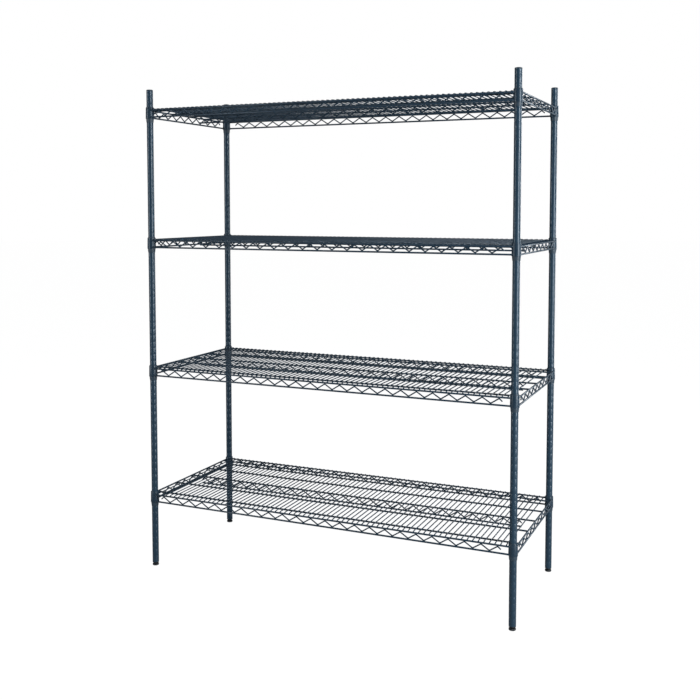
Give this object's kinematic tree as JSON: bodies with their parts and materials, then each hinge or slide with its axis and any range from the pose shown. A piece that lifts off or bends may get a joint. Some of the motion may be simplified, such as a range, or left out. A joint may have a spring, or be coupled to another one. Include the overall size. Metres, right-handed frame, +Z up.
{
  "type": "wire shelving rack",
  "caption": "Free-standing wire shelving rack: open wire decks with zigzag edge trusses on grooved round posts, held by split clip-on sleeves, with screw-out levelling feet.",
  "frame": {"origin": "on the floor at the centre of the rack's base", "axes": "+X along the long side to the right seen from the front, +Y to the back, +Z up"},
  "size_m": [1.493, 0.605, 1.895],
  "materials": {
    "coated_steel": "smooth epoxy powder coat, satin gloss",
    "cap_plastic": "fine satin moulding",
    "sleeve_plastic": "matt moulding",
    "pad_plastic": "matt moulding",
    "blackened_steel": "black oxide on a turned screw"
  },
  "bodies": {
    "uprights": {"post_front_left": "coated_steel", "post_cap_front_left": "cap_plastic", "foot_insert_front_left": "pad_plastic", "post_front_right": "coated_steel", "post_cap_front_right": "cap_plastic", "foot_insert_front_right": "pad_plastic", "post_back_left": "coated_steel", "post_cap_back_left": "cap_plastic", "foot_insert_back_left": "pad_plastic", "post_back_right": "coated_steel", "post_cap_back_right": "cap_plastic", "foot_insert_back_right": "pad_plastic", "sleeve_bottom_front_left_outer": "sleeve_plastic", "sleeve_bottom_front_left_inner": "sleeve_plastic", "sleeve_bottom_front_right_outer": "sleeve_plastic", "sleeve_bottom_front_right_inner": "sleeve_plastic", "sleeve_bottom_back_left_outer": "sleeve_plastic", "sleeve_bottom_back_left_inner": "sleeve_plastic", "sleeve_bottom_back_right_outer": "sleeve_plastic", "sleeve_bottom_back_right_inner": "sleeve_plastic", "sleeve_lower_front_left_outer": "sleeve_plastic", "sleeve_lower_front_left_inner": "sleeve_plastic", "sleeve_lower_front_right_outer": "sleeve_plastic", "sleeve_lower_front_right_inner": "sleeve_plastic", "sleeve_lower_back_left_outer": "sleeve_plastic", "sleeve_lower_back_left_inner": "sleeve_plastic", "sleeve_lower_back_right_outer": "sleeve_plastic", "sleeve_lower_back_right_inner": "sleeve_plastic", "sleeve_upper_front_left_outer": "sleeve_plastic", "sleeve_upper_front_left_inner": "sleeve_plastic", "sleeve_upper_front_right_outer": "sleeve_plastic", "sleeve_upper_front_right_inner": "sleeve_plastic", "sleeve_upper_back_left_outer": "sleeve_plastic", "sleeve_upper_back_left_inner": "sleeve_plastic", "sleeve_upper_back_right_outer": "sleeve_plastic", "sleeve_upper_back_right_inner": "sleeve_plastic", "sleeve_top_front_left_outer": "sleeve_plastic", "sleeve_top_front_left_inner": "sleeve_plastic", "sleeve_top_front_right_outer": "sleeve_plastic", "sleeve_top_front_right_inner": "sleeve_plastic", "sleeve_top_back_left_outer": "sleeve_plastic", "sleeve_top_back_left_inner": "sleeve_plastic", "sleeve_top_back_right_outer": "sleeve_plastic", "sleeve_top_back_right_inner": "sleeve_plastic"},
    "shelf_bottom": {"shelf_bottom_frame": "coated_steel", "shelf_bottom_deck": "coated_steel"},
    "shelf_lower": {"shelf_lower_frame": "coated_steel", "shelf_lower_deck": "coated_steel"},
    "shelf_upper": {"shelf_upper_frame": "coated_steel", "shelf_upper_deck": "coated_steel"},
    "shelf_top": {"shelf_top_frame": "coated_steel", "shelf_top_deck": "coated_steel"},
    "foot_front_left": {"foot_pad_front_left": "pad_plastic"},
    "screw_front_left": {"foot_stem_front_left": "blackened_steel"},
    "foot_front_right": {"foot_pad_front_right": "pad_plastic"},
    "screw_front_right": {"foot_stem_front_right": "blackened_steel"},
    "foot_back_left": {"foot_pad_back_left": "pad_plastic"},
    "screw_back_left": {"foot_stem_back_left": "blackened_steel"},
    "foot_back_right": {"foot_pad_back_right": "pad_plastic"},
    "screw_back_right": {"foot_stem_back_right": "blackened_steel"}
  },
  "joints": [
    {"name": "shelf_bottom_lift", "type": "slide", "parent": "uprights", "child": "shelf_bottom", "axis": [0, 0, 1], "range_m": [0, 0.449]},
    {"name": "shelf_lower_lift", "type": "slide", "parent": "uprights", "child": "shelf_lower", "axis": [0, 0, 1], "range_m": [0, 0.449]},
    {"name": "shelf_upper_lift", "type": "slide", "parent": "uprights", "child": "shelf_upper", "axis": [0, 0, 1], "range_m": [0, 0.449]},
    {"name": "shelf_top_lift", "type": "slide", "parent": "uprights", "child": "shelf_top", "axis": [0, 0, 1], "range_m": [0, 0.11]},
    {"name": "foot_front_left_extend", "type": "slide", "parent": "uprights", "child": "foot_front_left", "axis": [0, 0, -1], "range_m": [0, 0.01906]},
    {"name": "screw_front_left_turn", "type": "hinge", "parent": "foot_front_left", "child": "screw_front_left", "pos_m": [-0.73, -0.286, 0.02], "axis": [0, 0, -1], "range_deg": [0, 4320]},
    {"name": "foot_front_right_extend", "type": "slide", "parent": "uprights", "child": "foot_front_right", "axis": [0, 0, -1], "range_m": [0, 0.01906]},
    {"name": "screw_front_right_turn", "type": "hinge", "parent": "foot_front_right", "child": "screw_front_right", "pos_m": [0.73, -0.286, 0.02], "axis": [0, 0, -1], "range_deg": [0, 4320]},
    {"name": "foot_back_left_extend", "type": "slide", "parent": "uprights", "child": "foot_back_left", "axis": [0, 0, -1], "range_m": [0, 0.01906]},
    {"name": "screw_back_left_turn", "type": "hinge", "parent": "foot_back_left", "child": "screw_back_left", "pos_m": [-0.73, 0.286, 0.02], "axis": [0, 0, -1], "range_deg": [0, 4320]},
    {"name": "foot_back_right_extend", "type": "slide", "parent": "uprights", "child": "foot_back_right", "axis": [0, 0, -1], "range_m": [0, 0.01906]},
    {"name": "screw_back_right_turn", "type": "hinge", "parent": "foot_back_right", "child": "screw_back_right", "pos_m": [0.73, 0.286, 0.02], "axis": [0, 0, -1], "range_deg": [0, 4320]}
  ],
  "couplings": [
    {"joint": "foot_front_left_extend", "follows": "screw_front_left_turn", "m_per_rad": 0.00025266},
    {"joint": "foot_front_right_extend", "follows": "screw_front_right_turn", "m_per_rad": 0.00025266},
    {"joint": "foot_back_left_extend", "follows": "screw_back_left_turn", "m_per_rad": 0.00025266},
    {"joint": "foot_back_right_extend", "follows": "screw_back_right_turn", "m_per_rad": 0.00025266}
  ]
}
